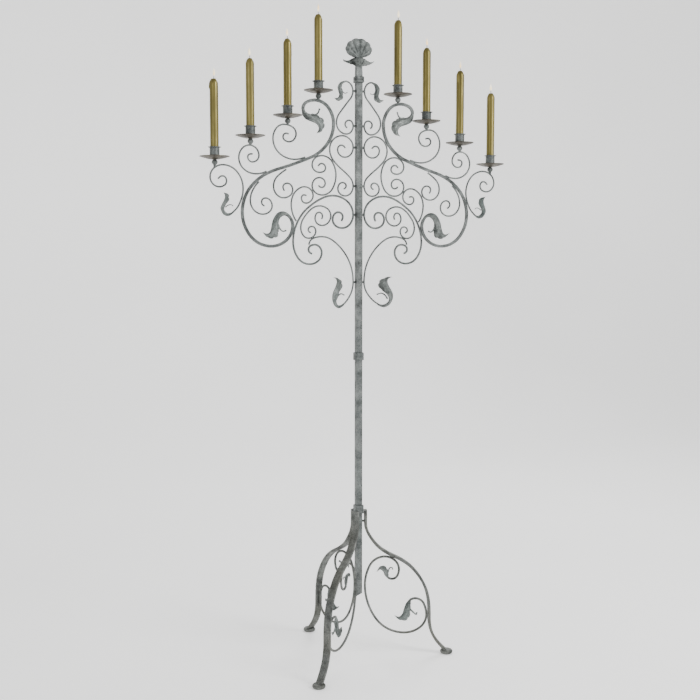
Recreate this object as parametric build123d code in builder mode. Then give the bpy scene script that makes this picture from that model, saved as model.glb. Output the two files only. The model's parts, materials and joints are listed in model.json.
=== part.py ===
from build123d import *
import math
import os

os.makedirs("parts", exist_ok=True)

# A wrought iron floor candelabrum: a tripod base, a square post, two mirrored scrollwork arms with eight
# candle holders, and a shell finial.  Millimetres, +Z up, X along the arms, and the shell faces -Y.
# The pieces are drawn about the post's axis and saved moved along Y, so that the origin is at floor level
# under the centre of the whole.
#
# A scroll is a list of stations: (distance from the post's axis, height, heading).  The heading is the
# direction of travel in degrees, 0 outwards and 90 up.  Two arcs, tangent to each other, join each
# station to the next.

# ---------------------------------------------------------------- bars
THIN = 4.5             # diameter of most scroll bars
MEDIUM = 5.5           # diameter of the lower arm's bar
ARM_WIDTH = 8.0        # the main arm's bar, in the plane of the scrollwork
ARM_DEPTH = 7.0        # the same bar, across that plane
ARM_GROOVE = 0.8       # radius of the groove along its front and back
ARM_ROUND = 1.6
LEAF_THICKNESS = 4.0

# ---------------------------------------------------------------- post
POST = 16.0
POST_WALL = 2.0
POST_FOOT = 172.0      # mean height of the post's slanted lower end
POST_SLANT = 25.0      # degrees
COLLAR = 24.5
COLLAR_ROUND = 5.5
RIDGE_ROUND = 2.0
BASE_COLLAR = (394.0, 22.0, 3)       # lower edge, height, number of ridges
MID_COLLAR = (805.0, 20.0, 2)
FINIAL_COLLAR = (1524.0, 15.0, 2)
SPIGOT = 11.4
SPIGOT_UP = 100.0      # how far the spigot stands up inside the upper post
SPIGOT_DOWN = 60.0
JOINT_GAP = 0.3        # between the two post sections

# ---------------------------------------------------------------- base
LEG_AZIMUTHS = {"leg_right": -15.0, "leg_back": 105.0, "leg_front": 225.0}
LEG_WIDTH = 20.0
LEG_THICKNESS = 7.5
LEG_ROUND = 2.0
LEG_SCROLL = 6.4
LEG_INNER = 19.0 - LEG_THICKNESS / 2
LEG_PEG_HEIGHT = 372.0
FOOT_RADIUS = 17.5
FOOT_HEIGHT = 10.0
FOOT_REACH = 241.0
AXIS_Y = -FOOT_REACH * (math.sin(math.radians(105)) + math.sin(math.radians(225))) / 2
LEG = [
    (19.0, 402.0, -90), (19.0, 368.0, -90), (45.5, 310.0, -50), (98.0, 273.0, -25),
    (151.5, 234.0, -49), (187.5, 166.0, -77), (193.0, 100.0, -90), (208.0, 44.5, -58),
    (246.0, 2.0, -42),
]
LEG_CURL = [
    (80.0, 215.5, -45), (91.5, 210.5, 0), (110.0, 236.0, 90), (70.0, 272.5, 180),
    (17.8, 196.0, 270), (128.0, 60.5, 0), (185.2, 108.0, 90), (154.0, 154.8, 180),
    (141.5, 151.3, 212),
]
SMALL_LEAF_OUTER = [(77.7, 213.2, 135), (68.0, 227.0, 118), (58.0, 237.5, 150), (49.0, 231.5, 235)]
SMALL_LEAF_INNER = [(49.0, 231.5, 60), (58.0, 244.0, 20), (69.0, 247.5, 0), (80.0, 236.0, -85),
                    (82.3, 217.8, -45)]
LARGE_LEAF_OUTER = [(139.8, 154.1, 212), (124.0, 128.0, 258), (119.0, 112.0, 245), (109.0, 105.5, 180),
                    (97.3, 110.6, 140)]
LARGE_LEAF_INNER = [(97.3, 110.6, -45), (114.6, 93.5, -10), (134.0, 94.0, 20), (142.0, 107.0, 88),
                    (143.2, 148.5, 88)]

# ---------------------------------------------------------------- scrollwork of one arm
SCROLLS = {
    "crown_scroll": [
        (36.0, 1525.4, 180), (16.0, 1502.0, 270), (38.0, 1463.5, -52), (61.0, 1420.0, -90),
        (34.0, 1392.0, 180), (15.3, 1413.0, 90), (26.5, 1427.0, 0), (37.4, 1416.5, -90),
        (31.7, 1408.3, -160),
    ],
    "post_scroll": [
        (37.0, 1356.3, 60), (47.5, 1363.0, 0), (57.9, 1351.5, -90), (38.3, 1332.7, 180),
        (15.3, 1358.0, 90), (45.0, 1387.3, 0), (79.6, 1352.0, -90), (46.0, 1301.0, -142),
        (15.3, 1259.0, -90), (37.5, 1233.7, 0), (57.4, 1252.0, 90), (44.0, 1267.7, 180),
        (34.7, 1259.5, 270), (41.5, 1251.7, -8),
    ],
    "c_scroll": [
        (110.5, 1308.3, 110), (101.5, 1315.0, 180), (91.0, 1304.0, 270), (107.0, 1292.3, 0),
        (127.2, 1311.0, 90), (100.5, 1335.0, 180), (62.7, 1286.0, 270), (101.0, 1235.0, 0),
        (127.4, 1258.0, 90), (107.5, 1279.0, 180), (92.0, 1265.0, 270), (101.5, 1254.3, 0),
        (110.0, 1259.7, 65),
    ],
    "lower_arm": [
        (47.9, 1169.0, 128), (44.0, 1180.0, 90), (56.0, 1191.3, 0), (71.8, 1173.0, -90),
        (46.5, 1150.6, 180), (15.3, 1185.0, 90), (70.0, 1233.7, 0), (124.3, 1213.0, -35),
        (155.0, 1185.0, -53), (179.2, 1114.0, -90), (134.0, 1057.6, 180), (102.0, 1087.0, 90),
        (121.0, 1107.7, 0), (137.8, 1095.5, -90), (128.3, 1084.7, -172),
    ],
    "core_scroll": [
        (102.0, 1173.7, 125), (99.7, 1180.5, 90), (108.5, 1190.5, 0), (119.8, 1175.0, -90),
        (101.0, 1157.0, 180), (77.0, 1182.0, 90), (107.0, 1207.0, 0), (139.0, 1190.3, -48),
        (158.5, 1151.0, -90), (137.0, 1124.2, 180), (118.0, 1142.5, 90), (128.7, 1154.4, 0),
        (138.2, 1146.0, -90), (131.5, 1139.0, -177),
    ],
    "bridge_scroll": [
        (143.0, 1232.3, 38), (149.7, 1234.3, 0), (156.5, 1226.0, -90), (144.5, 1213.7, 180),
        (125.0, 1233.5, 90), (148.0, 1255.0, 0), (169.7, 1245.0, -43), (183.8, 1210.0, -90),
        (170.5, 1167.5, -125),
    ],
    "cup_scroll_inner": [
        (189.5, 1387.0, 15), (196.0, 1388.3, 0), (204.5, 1379.5, -90), (189.0, 1367.3, 180),
        (170.0, 1388.0, 90), (201.0, 1410.3, 0), (231.0, 1374.0, -90), (175.0, 1323.6, 180),
        (146.0, 1330.0, 158),
    ],
    "cup_scroll_outer": [
        (284.5, 1334.0, 10), (297.0, 1326.5, -90), (285.3, 1314.3, 180), (268.0, 1331.0, 90),
        (292.0, 1355.7, 0), (320.0, 1324.0, -90), (277.0, 1285.0, 180), (249.0, 1292.0, 151),
    ],
    "hanging_scroll_inner": [
        (201.3, 1244.3, 43), (205.3, 1253.5, 90), (194.0, 1263.0, 180), (179.7, 1247.0, 270),
        (203.5, 1226.3, 0), (230.4, 1255.0, 90), (196.5, 1297.6, 150),
    ],
    "hanging_scroll_outer": [
        (254.5, 1205.3, 15), (262.0, 1215.0, 90), (251.5, 1225.0, 180), (234.4, 1206.0, 270),
        (258.7, 1184.3, 0), (291.3, 1218.0, 90), (268.5, 1265.2, 137),
    ],
    "outer_scroll": [
        (373.3, 1270.3, 118), (361.8, 1277.9, 180), (352.0, 1266.0, 270), (370.5, 1251.0, 0),
        (393.7, 1275.0, 90), (360.5, 1305.5, 180), (309.7, 1248.0, 270), (321.5, 1206.0, -62),
        (338.0, 1187.0, -42),
    ],
}
SCROLL_BARS = {"lower_arm": MEDIUM}
# Where a scroll bears on a bar made before it, it is cut to fit that bar.
SCROLL_REST = {
    "c_scroll": ["main_arm"],
    "lower_arm": ["main_arm"],
    "cup_scroll_inner": ["main_arm"],
    "cup_scroll_outer": ["main_arm"],
}
MAIN_ARM = [
    (151.5, 1451.0, 90), (118.5, 1474.3, 180), (69.0, 1417.0, 270), (95.0, 1354.5, -46),
    (175.0, 1312.5, -20), (253.0, 1283.5, -29), (286.5, 1256.5, -48), (312.4, 1188.0, -90),
    (237.3, 1103.7, 180), (180.0, 1157.0, 90), (184.5, 1173.0, 65),
]
# The bracket's lower end turns out of the arms' plane, towards the front, about a vertical line.
BRACKET_UPPER = [(136.5, 1107.3, 92), (101.7, 1128.3, 180), (51.0, 1101.0, -133), (24.3, 1059.7, -112),
                 (15.3, 1010.0, -90)]
BRACKET_TURN = 24.0
BRACKET_LOWER = [(0.0, 1010.0, -90), (31.4, 955.7, -36)]

# ---------------------------------------------------------------- leaves of one arm
LEAVES = {
    "crown_leaf": (
        [(36.0, 1527.7, 0), (58.0, 1509.0, -90), (54.5, 1491.0, -92), (68.5, 1481.5, 25)],
        [(68.5, 1481.5, 210), (55.0, 1474.3, 185), (41.5, 1486.0, 95), (46.3, 1510.0, 90),
         (36.0, 1523.1, 180)],
    ),
    "arm_top_leaf": (
        [(155.5, 1451.0, -90), (137.0, 1423.0, -152), (111.0, 1409.5, -125), (109.5, 1401.0, -85),
         (115.7, 1390.3, -52)],
        [(115.7, 1390.3, 160), (95.0, 1403.0, 110), (92.0, 1419.0, 85), (103.0, 1434.0, 20),
         (123.0, 1438.5, 5), (147.5, 1451.0, 90)],
    ),
    "arm_bottom_leaf": (
        [(180.9, 1174.7, 65), (208.0, 1192.5, 0), (235.0, 1165.0, -84), (249.3, 1135.7, -10),
         (261.3, 1139.5, 40)],
        [(261.3, 1139.5, 225), (243.0, 1124.0, 190), (224.0, 1123.0, 165), (215.5, 1138.0, 85),
         (218.0, 1160.0, 90), (201.0, 1181.0, 180), (188.1, 1171.3, 245)],
    ),
    "outer_leaf": (
        [(336.5, 1185.3, -42), (352.0, 1178.5, 0), (369.0, 1198.0, 90), (361.0, 1218.0, 125),
         (363.0, 1237.0, 40)],
        [(363.0, 1237.0, 215), (346.0, 1226.0, 265), (352.0, 1210.0, -55), (359.0, 1197.0, -90),
         (350.0, 1187.0, 180), (339.5, 1188.7, 138)],
    ),
}
BRACKET_LEAF_OUTER = [(30.1, 953.9, -36), (53.6, 943.5, 0), (77.0, 975.0, 90), (63.0, 1008.0, 110),
                      (75.5, 1024.0, 15)]
BRACKET_LEAF_INNER = [(75.5, 1024.0, 190), (50.0, 1018.0, 215), (36.0, 1006.0, 270),
                      (47.0, 988.0, -45), (66.0, 968.0, -90), (52.0, 950.0, 180), (32.7, 957.5, 144)]

# ---------------------------------------------------------------- pegs between post and scrolls
PEG = 6.0
PEG_HEIGHTS = {1502.0: THIN, 1413.0: THIN, 1358.0: THIN, 1259.0: THIN, 1185.0: MEDIUM, 1010.0: THIN}
PEG_REACH = 15.3       # the scroll centrelines' distance from the axis where they meet a peg

# ---------------------------------------------------------------- candle holders
PAN_RADIUS = 37.5
PAN_DEPTH = 8.5
PAN_THICKNESS = 1.4
PAN_FLOOR = 11.0       # radius of the pan's flat floor
CUP_RADIUS = 12.3
CUP_BORE = 10.95
CUP_FLOOR = 3.0
CUP_TOP = 22.5         # above the pan's rim
CUP_FLANGE = 15.8
FLANGE_THICKNESS = 1.6
KNOP_RADIUS = 7.6
KNOP_FOOT = 3.4
BAR_GAP = 0.1          # between a knop's foot and the bar under it
SCREW = 2.4            # radius
SCREW_HEAD = 4.6
SCREW_REACH = 9.0      # how deep the screw goes into the knop
# (distance from the axis, height of the pan's rim, height of the bar's upper side)
HOLDERS = [
    (381.7, 1326.5, 1299.3),
    (289.7, 1380.8, 1357.8),
    (191.9, 1434.7, 1411.5),
    (109.7, 1500.4, 1477.4),
]
CANDLE_RADIUS = 10.6
CANDLE_TOP = 188.0     # above the pan's rim
CANDLE_GAP = 0.3       # between a candle and the bottom of its cup
SHOULDER = 15.0
SHOULDER_RADIUS = 5.0
WICK = 0.8
WICK_LENGTH = 10.0

# ---------------------------------------------------------------- finial
NECK_TOP = 1566.0
NECK_TOP_SIDE = 14.6
TENON = 30.0
FINIAL_LEAF_TOP = 1586.0
FINIAL_LEAF_SPREAD = 43.0
FINIAL_LEAF_DEPTH = 16.0
SHELL_HALF_WIDTH = 36.0
SHELL_SHOULDER = 1604.0
SHELL_TOP = 1636.0
SHELL_THICKNESS = 9.0
SHELL_LOBES = 8
SHELL_LOBE_RISE = 1.6


def heading_vector(degrees):
    return Vector(math.cos(math.radians(degrees)), math.sin(math.radians(degrees)))


def mirrored(stations):
    return [(-x, z, 180 - heading) for x, z, heading in stations]


def on_side(stations, side):
    return stations if side > 0 else mirrored(stations)


def tangent_arcs(stations):
    """Inside a BuildLine, joins the stations by pairs of tangent arcs, or by a line where they are in line."""
    for (x0, z0, heading0), (x1, z1, heading1) in zip(stations, stations[1:]):
        start = Vector(x0, z0)
        end = Vector(x1, z1)
        leave = heading_vector(heading0)
        arrive = heading_vector(heading1)
        chord = end - start
        if abs(chord.cross(leave).Z) < 1e-6 and abs(chord.cross(arrive).Z) < 1e-6:
            Line(start, end)
            continue
        along = chord.dot(leave + arrive)
        bend = 2 * (1 - leave.dot(arrive))
        if bend < 1e-9:
            reach = chord.dot(chord) / (2 * along)
        else:
            reach = (math.sqrt(along ** 2 + bend * chord.dot(chord)) - along) / bend
        corner0 = start + leave * reach
        corner1 = end - arrive * reach
        middle = (corner0 + corner1) * 0.5
        TangentArc(start, middle, tangent=leave)
        TangentArc(middle, end, tangent=corner1 - corner0)


def section_plane(path, across):
    """The plane of a bar's section at the start of its path, with its local X across the scroll's plane."""
    return Plane(origin=path @ 0, x_dir=across, z_dir=path % 0)


def centreline(stations, plane):
    with BuildLine() as route:
        tangent_arcs(stations)
    return plane.from_local_coords(route.wires()[0])


def round_bar(stations, diameter, plane=Plane.XZ):
    path = centreline(stations, plane)
    with BuildPart() as bar:
        with BuildSketch(section_plane(path, plane.z_dir)):
            Circle(diameter / 2)
        sweep(path=path)
    return bar.part


def grooved_bar(stations, plane=Plane.XZ):
    path = centreline(stations, plane)
    with BuildPart() as bar:
        with BuildSketch(section_plane(path, plane.z_dir)):
            RectangleRounded(ARM_DEPTH, ARM_WIDTH, ARM_ROUND)
            with Locations((ARM_DEPTH / 2, 0), (-ARM_DEPTH / 2, 0)):
                Circle(ARM_GROOVE, mode=Mode.SUBTRACT)
        sweep(path=path)
    return bar.part


def flat_plate(outer, inner, plane=Plane.XZ):
    """A leaf's blank: its outer edge from root to tip, and its inner edge back to the root."""
    with BuildPart() as plate:
        with BuildSketch(plane):
            with BuildLine():
                tangent_arcs(outer)
                tangent_arcs(inner)
                Line(inner[-1][:2], outer[0][:2])
            make_face()
        extrude(amount=LEAF_THICKNESS / 2, both=True)
    return plate.part


def leg_plane(azimuth):
    """A vertical plane through the axis: local X points outwards and local Y up."""
    c = math.cos(math.radians(azimuth))
    s = math.sin(math.radians(azimuth))
    return Plane(origin=(0, 0, 0), x_dir=(c, s, 0), z_dir=(s, -c, 0))


def bracket_plane(side):
    """The plane of the bracket's lower end, through the vertical line where the bracket meets its peg."""
    c = math.cos(math.radians(BRACKET_TURN))
    s = math.sin(math.radians(BRACKET_TURN))
    reach = side * BRACKET_UPPER[-1][0]
    return Plane(origin=(reach, 0, 0), x_dir=(side * c, -s, 0), z_dir=(-s, -side * c, 0))


def ridged_collar(low, height, ridges):
    """A square collar with rounded ridges, open for the post."""
    step = height / ridges
    with BuildPart() as collar:
        for i in range(ridges):
            with BuildSketch(Plane.XY.offset(low + i * step)):
                RectangleRounded(COLLAR, COLLAR, COLLAR_ROUND)
            extrude(amount=step)
            rims = collar.faces().filter_by(Axis.Z).group_by(Axis.Z)[-1].edges()
            fillet(rims, RIDGE_ROUND)
        with BuildSketch(Plane.XY.offset(low)):
            Rectangle(POST, POST)
        extrude(amount=height, mode=Mode.SUBTRACT)
    return collar.part


def save(shape, name):
    placed = shape.moved(Location((0, AXIS_Y, 0)))
    placed.label = name
    export_step(placed, f"parts/{name}.step")


# ================================================================ base
with BuildPart() as post_lower:
    low_end = MID_COLLAR[0] + MID_COLLAR[1]
    with BuildSketch(Plane.XY.offset(low_end)):
        Rectangle(POST, POST)
        Rectangle(POST - 2 * POST_WALL, POST - 2 * POST_WALL, mode=Mode.SUBTRACT)
    extrude(amount=-(low_end - POST_FOOT + POST))
    cut = Plane(origin=(0, 0, POST_FOOT), x_dir=(0, 1, 0), z_dir=(-math.sin(math.radians(POST_SLANT)), 0,
                                                               math.cos(math.radians(POST_SLANT))))
    split(bisect_by=cut, keep=Keep.TOP)
save(post_lower.part, "post_lower")

save(ridged_collar(*BASE_COLLAR), "base_collar")
save(ridged_collar(*MID_COLLAR), "mid_collar")

with BuildPart() as spigot:
    with BuildSketch(Plane.XY.offset(low_end - SPIGOT_DOWN)):
        Rectangle(SPIGOT, SPIGOT)
    extrude(amount=SPIGOT_DOWN + SPIGOT_UP)
    chamfer(spigot.faces().sort_by(Axis.Z)[-1].edges(), 2.0)
save(spigot.part, "spigot")

leg_curls = []
leg_leaves = []
feet = []
leg_pegs = []
for name, azimuth in LEG_AZIMUTHS.items():
    plane = leg_plane(azimuth)
    leg_path = centreline(LEG, plane)
    with BuildPart() as leg:
        with BuildSketch(section_plane(leg_path, plane.z_dir)):
            RectangleRounded(LEG_WIDTH, LEG_THICKNESS, LEG_ROUND)
        sweep(path=leg_path)
        split(bisect_by=Plane.XY.offset(FOOT_HEIGHT), keep=Keep.TOP)
    save(leg.part, name)
    leg_curls.append(round_bar(LEG_CURL, LEG_SCROLL, plane))
    leg_leaves.append(flat_plate(SMALL_LEAF_OUTER, SMALL_LEAF_INNER, plane))
    leg_leaves.append(flat_plate(LARGE_LEAF_OUTER, LARGE_LEAF_INNER, plane))
    with BuildPart() as foot:
        with BuildSketch(plane):
            with BuildLine():
                Polyline((FOOT_REACH, 0), (FOOT_REACH + FOOT_RADIUS - 3, 0))
                RadiusArc((FOOT_REACH + FOOT_RADIUS - 3, 0), (FOOT_REACH + FOOT_RADIUS - 3, FOOT_HEIGHT), -6)
                Polyline((FOOT_REACH + FOOT_RADIUS - 3, FOOT_HEIGHT), (FOOT_REACH, FOOT_HEIGHT), (FOOT_REACH, 0))
            make_face()
        centre = plane.from_local_coords((FOOT_REACH, 0, 0))
        revolve(axis=Axis(centre, (0, 0, 1)))
    feet.append(foot.part)
    with BuildPart() as peg:
        with BuildSketch(Plane(origin=(0, 0, LEG_PEG_HEIGHT), x_dir=(0, 0, 1), z_dir=plane.x_dir)):
            Circle(PEG / 2)
        extrude(amount=LEG_INNER)
        with BuildSketch(Plane.XY.offset(LEG_PEG_HEIGHT - PEG)):
            Rectangle(POST, POST)
        extrude(amount=2 * PEG, mode=Mode.SUBTRACT)
    leg_pegs.append(peg.part)
save(Compound(children=leg_curls), "leg_scrolls")
save(Compound(children=leg_leaves), "leg_leaves")
save(Compound(children=feet), "feet")
save(Compound(children=leg_pegs), "leg_pegs")

# ================================================================ upper post
with BuildPart() as post_upper:
    with BuildSketch(Plane.XY.offset(low_end + JOINT_GAP)):
        Rectangle(POST, POST)
        Rectangle(POST - 2 * POST_WALL, POST - 2 * POST_WALL, mode=Mode.SUBTRACT)
    extrude(amount=FINIAL_COLLAR[0] + FINIAL_COLLAR[1] - low_end - JOINT_GAP)
save(post_upper.part, "post_upper")
save(ridged_collar(*FINIAL_COLLAR), "finial_collar")

with BuildPart() as post_pegs:
    for height, bar in PEG_HEIGHTS.items():
        for side in (1, -1):
            with BuildSketch(Plane(origin=(side * POST / 2, 0, height), x_dir=(0, 1, 0), z_dir=(side, 0, 0))):
                Circle(PEG / 2)
            extrude(amount=PEG_REACH - bar / 2 - POST / 2)
save(post_pegs.part, "post_pegs")

# ================================================================ scrollwork
bars = {}
for side, side_name in ((1, "right"), (-1, "left")):
    bars["main_arm", side] = grooved_bar(on_side(MAIN_ARM, side))
    save(bars["main_arm", side], f"main_arm_{side_name}")
    for name, stations in SCROLLS.items():
        with BuildPart() as scroll:
            add(round_bar(on_side(stations, side), SCROLL_BARS.get(name, THIN)))
            for rest in SCROLL_REST.get(name, []):
                add(bars[rest, side], mode=Mode.SUBTRACT)
        bars[name, side] = scroll.part
        save(scroll.part, f"{name}_{side_name}")
    with BuildPart() as bracket:
        add(round_bar(on_side(BRACKET_UPPER, side), THIN))
        add(round_bar(BRACKET_LOWER, THIN, bracket_plane(side)))
        add(bars["core_scroll", side], mode=Mode.SUBTRACT)
        add(bars["lower_arm", side], mode=Mode.SUBTRACT)
    save(bracket.part, f"bracket_scroll_{side_name}")

for name, (outer, inner) in LEAVES.items():
    pair = [flat_plate(on_side(outer, side), on_side(inner, side)) for side in (1, -1)]
    save(Compound(children=pair), name.replace("leaf", "leaves"))
pair = [flat_plate(BRACKET_LEAF_OUTER, BRACKET_LEAF_INNER, bracket_plane(side)) for side in (1, -1)]
save(Compound(children=pair), "bracket_leaves")

# ================================================================ candle holders and candles
pans = []
cups = []
knops = []
screws = []
for side, side_name in ((1, "right"), (-1, "left")):
    for number, (reach, rim, bar_top) in enumerate(HOLDERS, start=1):
        axis = Axis((side * reach, 0, 0), (0, 0, 1))
        plane = Plane(origin=(side * reach, 0, 0), x_dir=(1, 0, 0), z_dir=(0, -1, 0))
        pan_low = rim - PAN_DEPTH
        cup_low = pan_low + PAN_THICKNESS
        with BuildPart() as pan:
            with BuildSketch(plane):
                with BuildLine():
                    Polyline((SCREW, pan_low), (PAN_FLOOR, pan_low))
                    Spline((PAN_FLOOR, pan_low), (PAN_RADIUS * 0.72, pan_low + PAN_DEPTH * 0.42),
                           (PAN_RADIUS, rim - PAN_THICKNESS))
                    Polyline((PAN_RADIUS, rim - PAN_THICKNESS), (PAN_RADIUS, rim))
                    Spline((PAN_RADIUS, rim), (PAN_RADIUS * 0.72, cup_low + PAN_DEPTH * 0.42),
                           (PAN_FLOOR + 2, cup_low))
                    Polyline((PAN_FLOOR + 2, cup_low), (SCREW, cup_low), (SCREW, pan_low))
                make_face()
            revolve(axis=axis)
        pans.append(pan.part)
        with BuildPart() as cup:
            with BuildSketch(plane):
                with BuildLine():
                    Polyline((SCREW, cup_low), (CUP_RADIUS, cup_low), (CUP_RADIUS, rim + CUP_TOP - FLANGE_THICKNESS),
                             (CUP_FLANGE, rim + CUP_TOP - FLANGE_THICKNESS), (CUP_FLANGE, rim + CUP_TOP),
                             (CUP_BORE, rim + CUP_TOP), (CUP_BORE, cup_low + CUP_FLOOR),
                             (SCREW_HEAD, cup_low + CUP_FLOOR), (SCREW, cup_low + CUP_FLOOR - SCREW_HEAD + SCREW),
                             (SCREW, cup_low))
                make_face()
            revolve(axis=axis)
        cups.append(cup.part)
        with BuildPart() as knop:
            with BuildSketch(plane):
                with BuildLine():
                    Polyline((0, pan_low), (4.0, pan_low), (4.0, pan_low - 0.8))
                    ThreePointArc((4.0, pan_low - 0.8), (KNOP_RADIUS, pan_low - 6.8), (KNOP_FOOT, pan_low - 13.2))
                    Polyline((KNOP_FOOT, pan_low - 13.2), (KNOP_FOOT, bar_top + BAR_GAP), (0, bar_top + BAR_GAP),
                             (0, pan_low))
                make_face()
            revolve(axis=axis)
            with BuildSketch(Plane.XY.offset(pan_low)):
                with Locations((side * reach, 0)):
                    Circle(SCREW)
            extrude(amount=-SCREW_REACH, mode=Mode.SUBTRACT)
        knops.append(knop.part)
        with BuildPart() as screw:
            with BuildSketch(plane):
                with BuildLine():
                    head = cup_low + CUP_FLOOR
                    Polyline((0, pan_low - SCREW_REACH + 1), (SCREW, pan_low - SCREW_REACH + 1),
                             (SCREW, head - SCREW_HEAD + SCREW), (SCREW_HEAD, head), (0, head),
                             (0, pan_low - SCREW_REACH + 1))
                make_face()
            revolve(axis=axis)
        screws.append(screw.part)
        candle_low = cup_low + CUP_FLOOR + CANDLE_GAP
        candle_top = rim + CANDLE_TOP
        with BuildPart() as wax:
            with BuildSketch(plane):
                with BuildLine():
                    Polyline((0, candle_low), (CANDLE_RADIUS, candle_low), (CANDLE_RADIUS, candle_top - SHOULDER))
                    ThreePointArc((CANDLE_RADIUS, candle_top - SHOULDER), (8.9, candle_top - 5.5),
                                  (SHOULDER_RADIUS, candle_top))
                    Polyline((SHOULDER_RADIUS, candle_top), (0, candle_top), (0, candle_low))
                make_face()
            revolve(axis=axis)
        with BuildPart() as wick:
            with BuildSketch(Plane.XY.offset(candle_top)):
                with Locations((side * reach, 0)):
                    Circle(WICK)
            extrude(amount=WICK_LENGTH)
        save(Compound(children=[wax.part, wick.part]), f"candle_{side_name}_{number}")
save(Compound(children=pans), "drip_pans")
save(Compound(children=cups), "candle_cups")
save(Compound(children=knops), "knops")
save(Compound(children=screws), "holder_screws")

# ================================================================ finial
with BuildPart() as finial_neck:
    neck_low = FINIAL_COLLAR[0] + FINIAL_COLLAR[1]
    with BuildSketch(Plane.XY.offset(neck_low)):
        Rectangle(POST, POST)
    with BuildSketch(Plane.XY.offset(NECK_TOP)):
        Rectangle(NECK_TOP_SIDE, NECK_TOP_SIDE)
    loft()
    with BuildSketch(Plane.XY.offset(neck_low)):
        Rectangle(SPIGOT, SPIGOT)
    extrude(amount=-TENON)
save(finial_neck.part, "finial_neck")

with BuildPart() as finial_leaves:
    with BuildSketch(Plane.XZ):
        with BuildLine():
            spread = FINIAL_LEAF_SPREAD
            top = FINIAL_LEAF_TOP
            Line((-8, NECK_TOP), (8, NECK_TOP))
            for side in (1, -1):
                ThreePointArc((side * 8, NECK_TOP), (side * spread * 0.6, NECK_TOP + 4), (side * spread, top - 6))
                ThreePointArc((side * spread, top - 6), (side * spread * 0.7, top - 9), (side * 20, top - 6))
                ThreePointArc((side * 20, top - 6), (side * 15, top - 1.5), (side * 9, top))
            Line((-9, top), (9, top))
        make_face()
    extrude(amount=FINIAL_LEAF_DEPTH / 2, both=True)
save(finial_leaves.part, "finial_leaves")

with BuildPart() as finial_shell:
    with BuildSketch(Plane.XZ):
        with BuildLine():
            ring = []
            for i in range(SHELL_LOBES + 1):
                turn = math.pi * i / SHELL_LOBES
                ring.append(Vector(SHELL_HALF_WIDTH * math.cos(turn),
                                   SHELL_SHOULDER + (SHELL_TOP - SHELL_LOBE_RISE - SHELL_SHOULDER) * math.sin(turn)))
            hinge = Vector(0, SHELL_SHOULDER - 12)
            for a, b in zip(ring, ring[1:]):
                outwards = ((a + b) * 0.5 - hinge).normalized()
                ThreePointArc(a, (a + b) * 0.5 + outwards * (SHELL_LOBE_RISE + 1.0), b)
            ThreePointArc(ring[-1], (-26, 1591.5), (-10, FINIAL_LEAF_TOP))
            Line((-10, FINIAL_LEAF_TOP), (10, FINIAL_LEAF_TOP))
            ThreePointArc((10, FINIAL_LEAF_TOP), (26, 1591.5), ring[0])
        make_face()
    extrude(amount=SHELL_THICKNESS / 2, both=True)
save(finial_shell.part, "finial_shell")
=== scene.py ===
import json
import math
import random

import bpy
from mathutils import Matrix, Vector, noise


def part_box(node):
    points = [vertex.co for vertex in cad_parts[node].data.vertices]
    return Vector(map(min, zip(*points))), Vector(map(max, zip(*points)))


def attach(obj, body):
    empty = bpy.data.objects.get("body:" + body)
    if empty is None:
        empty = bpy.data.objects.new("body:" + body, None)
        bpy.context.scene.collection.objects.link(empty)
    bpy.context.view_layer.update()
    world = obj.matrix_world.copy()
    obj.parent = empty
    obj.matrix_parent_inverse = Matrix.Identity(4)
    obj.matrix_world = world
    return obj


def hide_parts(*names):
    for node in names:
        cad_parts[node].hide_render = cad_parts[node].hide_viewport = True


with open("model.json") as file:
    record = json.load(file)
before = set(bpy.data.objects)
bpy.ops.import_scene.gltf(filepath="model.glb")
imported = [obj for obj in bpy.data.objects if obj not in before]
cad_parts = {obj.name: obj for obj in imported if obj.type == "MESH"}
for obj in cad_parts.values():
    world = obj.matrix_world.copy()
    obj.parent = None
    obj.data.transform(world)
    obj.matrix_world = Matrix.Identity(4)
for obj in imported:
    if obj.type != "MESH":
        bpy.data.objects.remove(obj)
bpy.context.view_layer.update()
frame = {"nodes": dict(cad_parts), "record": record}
random.seed(7)

MM = 0.001
NODES = frame["nodes"]
SIDES = ((1, "right"), (-1, "left"))


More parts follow.
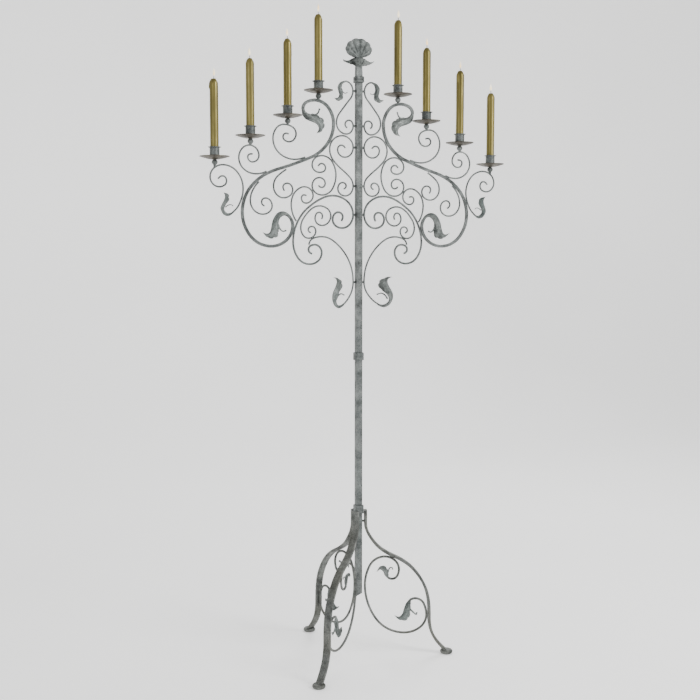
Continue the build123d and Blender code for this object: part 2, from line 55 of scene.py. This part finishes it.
# ---------------------------------------------------------------- materials
class Shader:
    """One procedural material, built from noise on the object's own coordinates."""

    def __init__(self, name):
        self.material = bpy.data.materials.new(name)
        self.material.use_nodes = True
        self.nodes = self.material.node_tree.nodes
        self.links = self.material.node_tree.links
        self.surface = self.nodes["Principled BSDF"]
        self.coords = self.nodes.new("ShaderNodeTexCoord").outputs["Object"]

    def noise(self, scale, detail=6.0, roughness=0.6, stretch=None):
        node = self.nodes.new("ShaderNodeTexNoise")
        node.inputs["Scale"].default_value = scale
        node.inputs["Detail"].default_value = detail
        node.inputs["Roughness"].default_value = roughness
        source = self.coords
        if stretch:
            mapping = self.nodes.new("ShaderNodeMapping")
            mapping.inputs["Scale"].default_value = stretch
            self.links.new(source, mapping.inputs["Vector"])
            source = mapping.outputs["Vector"]
        self.links.new(source, node.inputs["Vector"])
        return node.outputs["Fac"]

    def ramp(self, value, stops):
        node = self.nodes.new("ShaderNodeValToRGB")
        ramp = node.color_ramp
        while len(ramp.elements) < len(stops):
            ramp.elements.new(0.5)
        for element, (position, colour) in zip(ramp.elements, stops):
            element.position = position
            element.color = (*colour, 1.0)
        self.links.new(value, node.inputs["Fac"])
        return node.outputs["Color"]

    def mix(self, factor, a, b, mode="MIX"):
        node = self.nodes.new("ShaderNodeMix")
        node.data_type = "RGBA"
        node.blend_type = mode
        if isinstance(factor, float):
            node.inputs["Factor"].default_value = factor
        else:
            self.links.new(factor, node.inputs["Factor"])
        for index, value in ((6, a), (7, b)):
            if isinstance(value, tuple):
                node.inputs[index].default_value = (*value, 1.0)
            else:
                self.links.new(value, node.inputs[index])
        return node.outputs[2]

    def remap(self, value, low, high, to_low, to_high):
        node = self.nodes.new("ShaderNodeMapRange")
        self.links.new(value, node.inputs["Value"])
        node.inputs["From Min"].default_value = low
        node.inputs["From Max"].default_value = high
        node.inputs["To Min"].default_value = to_low
        node.inputs["To Max"].default_value = to_high
        return node.outputs["Result"]

    def bump(self, height, strength, distance, under=None):
        node = self.nodes.new("ShaderNodeBump")
        node.inputs["Strength"].default_value = strength
        node.inputs["Distance"].default_value = distance
        self.links.new(height, node.inputs["Height"])
        if under:
            self.links.new(under, node.inputs["Normal"])
        return node.outputs["Normal"]

    def set(self, **sockets):
        for name, value in sockets.items():
            socket = self.surface.inputs[name.replace("_", " ")]
            if isinstance(value, (float, int)):
                socket.default_value = value
            elif isinstance(value, tuple):
                socket.default_value = (*value, 1.0)
            else:
                self.links.new(value, socket)


def iron(name, dark, base, light, patch, patch_amount, rough=(0.42, 0.68), metallic=0.55):
    """Forged iron: mottled, speckled with scale, with larger patches of another tint."""
    s = Shader(name)
    mottle = s.noise(38.0, 8.0, 0.65)
    speckle = s.noise(420.0, 4.0, 0.6)
    cloud = s.noise(7.0, 3.0, 0.5)
    colour = s.ramp(mottle, [(0.30, dark), (0.48, base), (0.70, light)])
    colour = s.mix(s.remap(cloud, 0.46, 0.66, 0.0, patch_amount), colour, patch)
    grain = s.ramp(speckle, [(0.36, (0.45, 0.45, 0.44)), (0.55, (1.0, 1.0, 1.0)), (0.74, (1.25, 1.26, 1.24))])
    colour = s.mix(0.85, colour, grain, "MULTIPLY")
    hammer = s.bump(s.noise(95.0, 3.0, 0.5), 0.35, 0.0012)
    pits = s.bump(speckle, 0.30, 0.0004, hammer)
    wear = s.remap(mottle, 0.3, 0.7, rough[1], rough[0])
    s.set(Base_Color=colour, Metallic=metallic, Roughness=wear, Normal=pits)
    return s.material


def gold_wax():
    """Candle wax with a metallic gold skin: faint vertical streaks and dulled patches."""
    s = Shader("gold_wax")
    streak = s.noise(60.0, 4.0, 0.55, stretch=(1.0, 1.0, 0.06))
    cloud = s.noise(22.0, 5.0, 0.6)
    colour = s.ramp(streak, [(0.32, (0.095, 0.078, 0.020)), (0.50, (0.165, 0.135, 0.038)),
                             (0.72, (0.26, 0.215, 0.075))])
    colour = s.mix(s.remap(cloud, 0.50, 0.72, 0.0, 0.55), colour, (0.115, 0.100, 0.030))
    fine = s.bump(s.noise(700.0, 3.0, 0.5), 0.10, 0.0003)
    lumps = s.bump(cloud, 0.25, 0.0010, fine)
    s.set(Base_Color=colour, Metallic=0.72, Roughness=s.remap(cloud, 0.3, 0.7, 0.30, 0.46), Normal=lumps)
    return s.material


def charred_wick():
    s = Shader("charred_wick")
    char = s.noise(900.0, 4.0, 0.6)
    colour = s.ramp(char, [(0.35, (0.008, 0.007, 0.006)), (0.65, (0.06, 0.045, 0.032))])
    s.set(Base_Color=colour, Roughness=s.remap(char, 0.3, 0.7, 0.8, 0.95), Normal=s.bump(char, 0.5, 0.0003))
    return s.material


def flame():
    """A pale flame: soft streaks running from warm orange to near white."""
    s = Shader("flame")
    lick = s.noise(160.0, 3.0, 0.5, stretch=(1.0, 1.0, 0.3))
    colour = s.ramp(lick, [(0.30, (1.0, 0.66, 0.30)), (0.52, (1.0, 0.86, 0.58)), (0.75, (1.0, 0.96, 0.82))])
    rough = s.remap(lick, 0.3, 0.7, 0.6, 0.9)
    s.set(Base_Color=colour, Roughness=rough, Emission_Color=colour, Emission_Strength=1.15)
    return s.material


def pale_floor():
    s = Shader("pale_floor")
    cloud = s.noise(1.4, 4.0, 0.5)
    colour = s.ramp(cloud, [(0.3, (0.92, 0.92, 0.915)), (0.7, (0.95, 0.95, 0.945))])
    s.set(Base_Color=colour, Roughness=s.remap(cloud, 0.3, 0.7, 0.75, 0.9), Emission_Color=colour,
          Emission_Strength=0.45)
    return s.material


IRON = iron("iron", (0.045, 0.049, 0.048), (0.125, 0.136, 0.133), (0.230, 0.246, 0.240),
            (0.110, 0.128, 0.124), 0.45)
LEAF_IRON = iron("leaf_iron", (0.045, 0.051, 0.049), (0.140, 0.154, 0.148), (0.300, 0.322, 0.312),
                 (0.130, 0.168, 0.160), 0.45)
HOLDER_IRON = iron("holder_iron", (0.016, 0.013, 0.010), (0.052, 0.042, 0.029), (0.125, 0.105, 0.070),
                   (0.090, 0.075, 0.045), 0.5, rough=(0.32, 0.55))
BASE_IRON = iron("base_iron", (0.036, 0.039, 0.036), (0.112, 0.119, 0.112), (0.200, 0.208, 0.196),
                 (0.120, 0.116, 0.092), 0.45)
WAX = gold_wax()
WICK = charred_wick()
FLAME = flame()
SLOT_MATERIALS = {"iron": IRON, "leaf_iron": LEAF_IRON, "holder_iron": HOLDER_IRON, "base_iron": BASE_IRON,
                  "wax": WAX}
for part in frame["record"]["subparts"]:
    mesh = NODES[part["node"]].data
    mesh.materials.clear()
    mesh.materials.append(SLOT_MATERIALS[part["material_slot"]])


# ---------------------------------------------------------------- places in the frame
def centre(node):
    low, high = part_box(node)
    return (Vector(low) + Vector(high)) / 2


AXIS = centre("post_upper")
AXIS.z = 0.0
BODY_TOP = "top"
BODY_BASE = "base"


def arm_point(side):
    """A function from (distance from the axis, height, depth towards the front) in mm to the row frame."""
    def place(x, z, depth=0.0):
        return AXIS + Vector((side * x, -depth, z)) * MM
    return place


BRACKET_TURN = math.radians(24.0)
BRACKET_REACH = 15.3


def bracket_point(side):
    """The same, for the leaf that turns towards the front about the line where its scroll meets the post."""
    def place(x, z, depth=0.0):
        out = BRACKET_REACH + x * math.cos(BRACKET_TURN) - depth * math.sin(BRACKET_TURN)
        front = x * math.sin(BRACKET_TURN) + depth * math.cos(BRACKET_TURN)
        return AXIS + Vector((side * out, -front, z)) * MM
    return place


def leg_point(azimuth):
    """The same, in the vertical plane of one leg."""
    turn = math.radians(azimuth)
    outwards = Vector((math.cos(turn), math.sin(turn), 0.0))
    across = Vector((math.sin(turn), -math.cos(turn), 0.0))

    def place(x, z, depth=0.0):
        return AXIS + (outwards * x + across * depth + Vector((0, 0, z))) * MM
    return place


# ---------------------------------------------------------------- meshes
def spline(points, count):
    """count points evenly spaced along a smooth curve through the given ones."""
    pts = [Vector(p) for p in points]
    pts = [pts[0] * 2 - pts[1]] + pts + [pts[-1] * 2 - pts[-2]]
    fine = []
    for a, b, c, d in zip(pts, pts[1:], pts[2:], pts[3:]):
        for i in range(12):
            t = i / 12
            fine.append(0.5 * (2 * b + (c - a) * t + (2 * a - 5 * b + 4 * c - d) * t * t
                               + (3 * b - a - 3 * c + d) * t ** 3))
    fine.append(pts[-2])
    lengths = [0.0]
    for a, b in zip(fine, fine[1:]):
        lengths.append(lengths[-1] + (b - a).length)
    out = []
    k = 0
    for i in range(count):
        want = lengths[-1] * i / (count - 1)
        while k < len(fine) - 2 and lengths[k + 1] < want:
            k += 1
        span = max(lengths[k + 1] - lengths[k], 1e-9)
        out.append(fine[k].lerp(fine[k + 1], (want - lengths[k]) / span))
    return out


def make_object(name, verts, faces, materials):
    mesh = bpy.data.meshes.new(name)
    mesh.from_pydata([tuple(v) for v in verts], [], faces)
    mesh.validate()
    for material in materials:
        mesh.materials.append(material)
    mesh.polygons.foreach_set("use_smooth", [True] * len(mesh.polygons))
    obj = bpy.data.objects.new(name, mesh)
    bpy.context.scene.collection.objects.link(obj)
    return obj


class Builder:
    """Gathers the shells of one piece and makes a single object of them."""

    def __init__(self):
        self.verts = []
        self.faces = []

    def closed_sheet(self, front, back):
        """Two grids of the same size that share a border, joined by a rim."""
        rows = len(front)
        cols = len(front[0])
        base = len(self.verts)
        for grid in (front, back):
            for row in grid:
                self.verts.extend(row)
        shift = rows * cols
        for i in range(rows - 1):
            for j in range(cols - 1):
                a = base + i * cols + j
                self.faces.append((a, a + 1, a + cols + 1, a + cols))
                self.faces.append((a + shift, a + shift + cols, a + shift + cols + 1, a + shift + 1))
        border = [(i, 0) for i in range(rows)] + [(rows - 1, j) for j in range(1, cols)]
        border += [(i, cols - 1) for i in range(rows - 2, -1, -1)] + [(0, j) for j in range(cols - 2, 0, -1)]
        for (i0, j0), (i1, j1) in zip(border, border[1:] + border[:1]):
            a = base + i0 * cols + j0
            b = base + i1 * cols + j1
            self.faces.append((b, a, a + shift, b + shift))

    def tube(self, points, radii, sides=12, flat=1.0):
        """A bar along points, with closed ends; flat squeezes it across the leaf's plane."""
        base = len(self.verts)
        count = len(points)
        previous = None
        for i, point in enumerate(points):
            along = (points[min(i + 1, count - 1)] - points[max(i - 1, 0)]).normalized()
            reference = previous if previous else Vector((0.13, -0.98, 0.11))
            across = (reference - along * reference.dot(along)).normalized()
            previous = across
            other = along.cross(across)
            for j in range(sides):
                turn = 2 * math.pi * j / sides
                outwards = across * math.cos(turn) * flat + other * math.sin(turn)
                self.verts.append(point + outwards * radii[i])
        for i in range(count - 1):
            for j in range(sides):
                a = base + i * sides + j
                b = base + i * sides + (j + 1) % sides
                self.faces.append((a, b, b + sides, a + sides))
        self.faces.append(tuple(base + j for j in reversed(range(sides))))
        self.faces.append(tuple(base + (count - 1) * sides + j for j in range(sides)))

    def lathe(self, axis, profile, sides=40, shape=None):
        """profile holds (radius, height) in mm; shape(turn, radius, height) may return another radius."""
        base = len(self.verts)
        for radius, height in profile:
            for j in range(sides):
                turn = 2 * math.pi * j / sides
                r = shape(turn, radius, height) if shape else radius
                self.verts.append(axis + Vector((r * math.cos(turn), r * math.sin(turn), height)) * MM)
        for i in range(len(profile) - 1):
            for j in range(sides):
                a = base + i * sides + j
                b = base + i * sides + (j + 1) % sides
                self.faces.append((a, b, b + sides, a + sides))
        self.faces.append(tuple(base + j for j in reversed(range(sides))))
        last = base + (len(profile) - 1) * sides
        self.faces.append(tuple(last + j for j in range(sides)))

    def finish(self, name, material):
        return make_object(name, self.verts, self.faces, [material])


def leaf(builder, place, outer, inner, notches, dish, thickness, lean=0.0):
    """A forged acanthus leaf between two edges that meet at its tip, its inner edge cut into lobes."""
    rows = 84
    cols = 17
    outer_edge = spline(outer, rows)
    inner_edge = spline(inner, rows)
    front = []
    back = []
    for i in range(rows):
        u = i / (rows - 1)
        grow = min(1.0, u / 0.18)
        phase = (u - 0.12) * notches
        lobe = abs(math.sin(math.pi * phase)) ** 0.55 if 0.12 < u < 0.97 else 1.0
        cut = 0.13 * (1.0 - lobe) * grow
        front_row = []
        back_row = []
        for j in range(cols):
            v = j / (cols - 1)
            spot = outer_edge[i].lerp(inner_edge[i], v * (1.0 - cut))
            arch = math.sin(math.pi * v) ** 0.8
            fade = grow * min(1.0, (1.0 - u) / 0.12)
            rib = math.cos(2 * math.pi * 3 * v) * 0.85 * arch
            ruffle = (lobe - 0.6) * 2.2 * v * v
            roll = -dish * 0.9 * v ** 3
            depth = (dish * arch + rib + ruffle + roll) * fade + lean * u * u
            body = thickness * (0.28 + 0.72 * arch) * (1.0 - 0.5 * u)
            front_row.append(place(spot.x, spot.y, depth + body / 2))
            back_row.append(place(spot.x, spot.y, depth - body / 2))
        front.append(front_row)
        back.append(back_row)
    builder.closed_sheet(front, back)


def tendril(builder, place, points, radius, lean=0.0):
    """A small curl that springs from a leaf's inner edge and ends in a rounded knob."""
    count = 26
    path = spline(points, count)
    centres = [place(p.x, p.y, lean * (i / count)) for i, p in enumerate(path)]
    radii = []
    for i in range(count):
        t = i / (count - 1)
        size = radius * (1.0 - 0.45 * t)
        if t > 0.86:
            size *= 1.0 + 0.5 * math.sin((t - 0.86) / 0.14 * math.pi)
        radii.append(size * MM)
    radii[-1] *= 0.4
    builder.tube(centres, radii, flat=0.75)


def finish_leaves(builder, name, node, body):
    obj = builder.finish(name, LEAF_IRON)
    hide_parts(node)
    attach(obj, body)
    return obj


# ---------------------------------------------------------------- acanthus leaves
# Each leaf: outer edge and inner edge from root to tip, tendril, number of lobes, dish, lean, all in mm.
ARM_LEAVES = {
    "crown_leaves": dict(
        outer=[(36, 1527.6), (50, 1523), (58, 1512), (57, 1501), (54.5, 1491), (59, 1483), (68.5, 1481.5)],
        inner=[(36, 1523.2), (43, 1519), (46, 1510), (44.5, 1500), (41.5, 1488), (45, 1479), (54, 1474.5),
               (62, 1476), (68.5, 1481.5)],
        curl=[(47, 1507), (44, 1499), (38, 1495), (31, 1497.5)], lobes=5, dish=3.0, lean=5.0, size=1.7),
    "arm_top_leaves": dict(
        outer=[(155.4, 1451), (153, 1437), (146, 1427), (135, 1421.5), (118, 1415.5), (111.5, 1409),
               (110, 1401), (115.7, 1390.3)],
        inner=[(147.6, 1451), (142, 1444), (129, 1439.5), (113, 1438), (100, 1432), (93, 1423), (92, 1413),
               (95, 1403), (103, 1394.5), (115.7, 1390.3)],
        curl=[(128, 1438), (118, 1437.5), (111, 1443), (107, 1454)], lobes=6, dish=4.5, lean=2.0, size=3.0),
    "arm_bottom_leaves": dict(
        outer=[(181, 1174.7), (188, 1184), (197, 1190), (208, 1192.5), (220, 1188.5), (229, 1178),
               (235, 1165), (238, 1150), (242, 1139), (250, 1135.7), (261.3, 1139.5)],
        inner=[(188, 1171.4), (195, 1179), (204, 1180.5), (213, 1174), (217, 1165), (217, 1152), (216, 1141),
               (218, 1130), (227, 1123.3), (240, 1123), (250, 1127.5), (261.3, 1139.5)],
        curl=[(219, 1160), (215, 1149), (207, 1141.5), (197, 1144)], lobes=7, dish=5.0, lean=3.0, size=2.8),
    "outer_leaves": dict(
        outer=[(336.6, 1185.4), (344, 1180), (352, 1178.6), (362, 1183), (369, 1197), (366, 1208),
               (361, 1218), (359, 1228), (363, 1237)],
        inner=[(339.4, 1188.7), (345, 1186.3), (352, 1188), (358, 1195), (356.5, 1204), (350, 1212),
               (346, 1221), (347, 1230), (354, 1235.5), (363, 1237)],
        curl=[(356, 1201), (348, 1206), (341, 1207), (336, 1203.5)], lobes=5, dish=3.0, lean=12.0, size=1.7),
}
BRACKET_LEAF = dict(
    outer=[(30.2, 954), (41, 946.5), (53.6, 943.5), (68, 951), (76, 967), (75, 983), (66, 1000), (62, 1012),
           (66, 1020), (75.5, 1024)],
    inner=[(32.7, 957.4), (44, 951.5), (56, 953), (64, 961), (65, 971), (57, 981), (47, 988), (39, 996),
           (36, 1006), (40, 1014), (50, 1020), (62, 1024), (75.5, 1024)],
    curl=[(62, 966), (55, 976), (45, 981), (33, 977)], lobes=7, dish=4.5, lean=4.0, size=2.5)
LEG_SMALL_LEAF = dict(
    outer=[(77.8, 213.3), (71, 221), (67, 231), (58, 237.5), (49, 231.5)],
    inner=[(82.2, 217.7), (82, 228), (78, 240), (69, 247.5), (58, 245), (49, 231.5)],
    curl=[(80, 228), (84, 240), (91, 242), (93, 236)], lobes=4, dish=3.5, lean=3.0, size=2.4)
LEG_LARGE_LEAF = dict(
    outer=[(139.9, 154), (130, 142), (124, 128), (119.5, 114), (110, 106), (97.3, 110.6)],
    inner=[(143.1, 148.6), (143.5, 130), (142, 110), (135, 95.5), (118, 93), (105, 101), (97.3, 110.6)],
    curl=[(142, 124), (150, 116), (158, 110), (159, 117)], lobes=5, dish=4.5, lean=4.0, size=2.8)


def add_leaf(builder, place, spec, thickness):
    leaf(builder, place, spec["outer"], spec["inner"], spec["lobes"], spec["dish"], thickness, spec["lean"])
    tendril(builder, place, spec["curl"], spec["size"], 2.0)


for node, spec in ARM_LEAVES.items():
    shells = Builder()
    for side, _ in SIDES:
        add_leaf(shells, arm_point(side), spec, 4.4)
    finish_leaves(shells, "sculpted_" + node, node, BODY_TOP)

shells = Builder()
for side, _ in SIDES:
    add_leaf(shells, bracket_point(side), BRACKET_LEAF, 4.4)
finish_leaves(shells, "sculpted_bracket_leaves", "bracket_leaves", BODY_TOP)

shells = Builder()
for azimuth in (-15.0, 105.0, 225.0):
    add_leaf(shells, leg_point(azimuth), LEG_SMALL_LEAF, 5.6)
    add_leaf(shells, leg_point(azimuth), LEG_LARGE_LEAF, 6.0)
finish_leaves(shells, "sculpted_leg_leaves", "leg_leaves", BODY_BASE)


# ---------------------------------------------------------------- finial
SHELL_RIBS = 8


def finial_shell():
    """A scallop: ribs fan out from its hinge to a lobed edge, and both faces are domed."""
    low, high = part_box("finial_shell")
    half_width = (high[0] - low[0]) / 2 / MM - 1.0
    foot = low[2] / MM
    top = high[2] / MM
    middle = foot + (top - foot) * 0.42
    hinge = Vector((0.0, foot - 2.0))
    place = arm_point(1)
    rows = 30
    cols = SHELL_RIBS * 14 + 1
    reach = math.radians(138.0)
    front = []
    back = []
    for i in range(rows):
        r = 0.06 + 0.94 * i / (rows - 1)
        front_row = []
        back_row = []
        for j in range(cols):
            s = j / (cols - 1)
            turn = -reach + 2 * reach * s
            lobe = abs(math.sin(math.pi * SHELL_RIBS * s)) ** 0.7
            span = top - middle if math.cos(turn) > 0 else middle - foot
            edge = Vector((half_width * math.sin(turn), middle + span * math.cos(turn)))
            edge = hinge + (edge - hinge) * (0.955 + 0.045 * lobe)
            spot = hinge + (edge - hinge) * r
            dome = 7.0 * math.sqrt(max(0.0, 1.0 - r ** 2.4)) * min(1.0, r / 0.25 + 0.35)
            rib = 2.1 * (lobe - 0.45) * min(1.0, r * 1.6) * (1.0 - 0.55 * r ** 6)
            ring = 0.25 * math.sin(r * 34.0) * r
            half = max(1.1, dome * 0.8 + rib + ring + 1.4)
            front_row.append(place(spot.x, spot.y, half))
            back_row.append(place(spot.x, spot.y, -half * 0.75))
        front.append(front_row)
        back.append(back_row)
    shells = Builder()
    shells.closed_sheet(front, back)
    finish_leaves(shells, "ribbed_shell", "finial_shell", BODY_TOP)


def finial_crown():
    """A fluted cup under the shell with four leaves that curl outwards."""
    low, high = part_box("finial_leaves")
    foot = low[2] / MM
    top = high[2] / MM
    spread = (high[0] - low[0]) / 2 / MM

    def flutes(turn, radius, height):
        return radius * (1.0 + 0.07 * math.cos(10 * turn))

    shells = Builder()
    rise = top - foot
    profile = [(6.5, foot - 1), (9.5, foot), (12.5, foot + rise * 0.2), (16.5, foot + rise * 0.45),
               (18.5, foot + rise * 0.62), (16.0, foot + rise * 0.82), (11.5, foot + rise * 0.95),
               (7, foot + rise + 1)]
    shells.lathe(AXIS, profile, 60, flutes)
    rim = [(0.09, 20.0), (0.38, 19.0), (0.63, 13.0), (0.82, 12.0), (1.0, 14.5)]
    hem = [(0.14, 0.0), (0.33, 0.5), (0.55, 2.0), (0.74, 5.0), (0.90, 9.0), (1.0, 14.5)]
    for turn, length in ((0.0, spread), (180.0, spread), (90.0, 27.0), (270.0, 27.0)):
        upper = [(length * share, foot + up * rise / 20.0) for share, up in rim]
        lower = [(length * share, foot + up * rise / 20.0) for share, up in hem]
        leaf(shells, leg_point(turn), upper, lower, 5, 6.5, 7.0)
    finish_leaves(shells, "leafy_crown", "finial_leaves", BODY_TOP)


finial_shell()
finial_crown()


# ---------------------------------------------------------------- candles
WICK_HEIGHT = 10.0
FLAME_DROP = 3.0       # how far the flame's foot reaches down over the wick, in mm
FLAME_SHAPE = [(0.3, 0.0), (1.4, 1.2), (2.3, 3.4), (2.75, 6.0), (2.5, 9.0), (1.9, 12.0), (1.15, 15.0),
               (0.5, 17.6), (0.1, 19.0)]
# For a candle with drips of wax: (where round the candle in radians, length, thickness) of each drip.
DRIPS = {"candle_left_1": ((3.0, 26.0, 1.5),), "candle_left_3": ((0.2, 44.0, 1.7), (0.9, 16.0, 1.2)),
         "candle_right_2": ((3.5, 30.0, 1.2),), "candle_right_4": ((5.2, 20.0, 1.3),)}


def candle(node):
    low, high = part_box(node)
    middle = (Vector(low) + Vector(high)) / 2
    axis = Vector((middle.x, middle.y, 0.0))
    radius = (high[0] - low[0]) / 2 / MM - 0.05
    foot = low[2] / MM
    top = high[2] / MM - WICK_HEIGHT
    drips = DRIPS.get(node, ())
    seed = random.uniform(0, 50)

    def wax_shape(turn, r, height):
        if r < 3.0:
            return r
        spot = Vector((math.cos(turn) * 1.2, math.sin(turn) * 1.2, height * 0.02 + seed))
        out = r + 0.16 * noise.noise(spot)
        near_top = max(0.0, 1.0 - (top - height) / 12.0)
        out += 0.45 * near_top * noise.noise(spot * 2.3)
        for where, length, size in drips:
            gap = (turn - where + math.pi) % (2 * math.pi) - math.pi
            fall = top - height
            if fall < length:
                bead = 1.0 if fall < length - 6 else math.sqrt(max(0.0, (length - fall) / 6.0))
                swell = 1.0 + 0.7 * math.exp(-((fall - length + 5) / 3.0) ** 2)
                out += size * bead * swell * math.exp(-(gap * r / 2.2) ** 2)
        return out

    levels = 46
    profile = [(radius * 0.96, foot), (radius, foot + 1.0)]
    for i in range(levels):
        profile.append((radius, foot + 1.0 + (top - 15.0 - foot) * (i + 1) / levels))
    for i in range(1, 12):
        t = i / 11
        taper = (1.0 - math.cos(t * math.pi / 2)) ** 1.15
        profile.append((radius - (radius - 5.4) * taper, top - 15.0 + 1.0 + 13.6 * t))
    profile += [(4.8, top), (4.0, top - 0.3), (3.2, top - 1.6), (1.2, top - 2.2)]
    shells = Builder()
    shells.lathe(axis, profile, 44, wax_shape)
    wax = shells.finish("wax_" + node, WAX)
    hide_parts(node)
    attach(wax, node)

    lean = random.uniform(-0.9, 0.9)
    lean_y = random.uniform(-0.7, 0.7)
    bends = [(0, top - 3, 0), (0.1, top + 3, 0), (lean * 0.6, top + 6.5, lean_y),
             (lean, top + WICK_HEIGHT - 0.8, lean_y * 1.6)]
    path = spline(bends, 14)
    centres = [axis + Vector((p.x, p.z, p.y)) * MM for p in path]
    cord = Builder()
    cord.tube(centres, [(0.95 - 0.30 * i / 13) * MM for i in range(14)], 8)
    wick = cord.finish("wick_" + node, WICK)
    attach(wick, node)

    tongue = Builder()
    start = axis + Vector((lean, lean_y, 0)) * MM
    outline = spline([(r, top + WICK_HEIGHT - FLAME_DROP + h, 0) for r, h in FLAME_SHAPE], 24)
    flicker = random.uniform(0, 6.28)

    def flicker_shape(turn, r, height):
        return max(0.05, r * (1.0 + 0.10 * math.cos(2 * turn + flicker)))

    tongue.lathe(start, [(p.x, p.y) for p in outline], 20, flicker_shape)
    fire = tongue.finish("flame_" + node, FLAME)
    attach(fire, node)


for _, side_name in SIDES:
    for number in range(1, 5):
        candle(f"candle_{side_name}_{number}")


# ---------------------------------------------------------------- floor, lights and camera
def backdrop():
    """A pale floor that curves up into a wall far behind the object."""
    width = 9.0
    profile = [(-6.0, 0.0), (2.2, 0.0)]
    for i in range(1, 13):
        turn = math.radians(90.0 * i / 12)
        profile.append((2.2 + 1.4 * math.sin(turn), 1.4 - 1.4 * math.cos(turn)))
    profile.append((3.6, 7.0))
    verts = []
    for y, z in profile:
        verts += [Vector((-width, y, z - 0.0005)), Vector((width, y, z - 0.0005))]
    faces = [(2 * i, 2 * i + 1, 2 * i + 3, 2 * i + 2) for i in range(len(profile) - 1)]
    make_object("backdrop", verts, faces, [pale_floor()])


def area_light(name, position, target, size, watts, colour=(1.0, 1.0, 1.0)):
    data = bpy.data.lights.new(name, "AREA")
    data.shape = "RECTANGLE"
    data.size = size[0]
    data.size_y = size[1]
    data.energy = watts
    data.color = colour
    obj = bpy.data.objects.new(name, data)
    obj.location = position
    obj.rotation_euler = (Vector(target) - Vector(position)).to_track_quat("-Z", "Y").to_euler()
    bpy.context.scene.collection.objects.link(obj)


def world_light():
    world = bpy.data.worlds.new("studio")
    world.use_nodes = True
    background = world.node_tree.nodes["Background"]
    background.inputs["Color"].default_value = (1.0, 1.0, 1.0, 1.0)
    background.inputs["Strength"].default_value = 0.70
    bpy.context.scene.world = world


CAMERA_PLACE = (-1.0365, -2.7256, 1.1037)      # from the foot of the post's axis, in metres
CAMERA_TURN = -20.38                           # degrees, towards the object's left
CAMERA_DOWN = 5.34
CAMERA_LENS = 57.1


def camera():
    """The camera stands to the left of the shell's side, a little above the middle of the object."""
    data = bpy.data.cameras.new("camera")
    data.sensor_width = 36.0
    data.lens = CAMERA_LENS
    obj = bpy.data.objects.new("camera", data)
    obj.location = AXIS + Vector(CAMERA_PLACE)
    turn = math.radians(CAMERA_TURN)
    down = math.radians(CAMERA_DOWN)
    view = Vector((-math.sin(turn) * math.cos(down), math.cos(turn) * math.cos(down), -math.sin(down)))
    obj.rotation_euler = view.to_track_quat("-Z", "Y").to_euler()
    bpy.context.scene.collection.objects.link(obj)
    bpy.context.scene.camera = obj


backdrop()
world_light()
area_light("key", (2.2, -2.6, 2.6), (0, 0, 0.9), (1.4, 2.0), 130.0)
area_light("fill", (-2.8, -2.2, 1.6), (0, 0, 0.9), (1.6, 1.8), 22.0)
area_light("rim", (1.6, 1.9, 2.8), (0, 0, 1.1), (1.2, 1.2), 45.0)
camera()
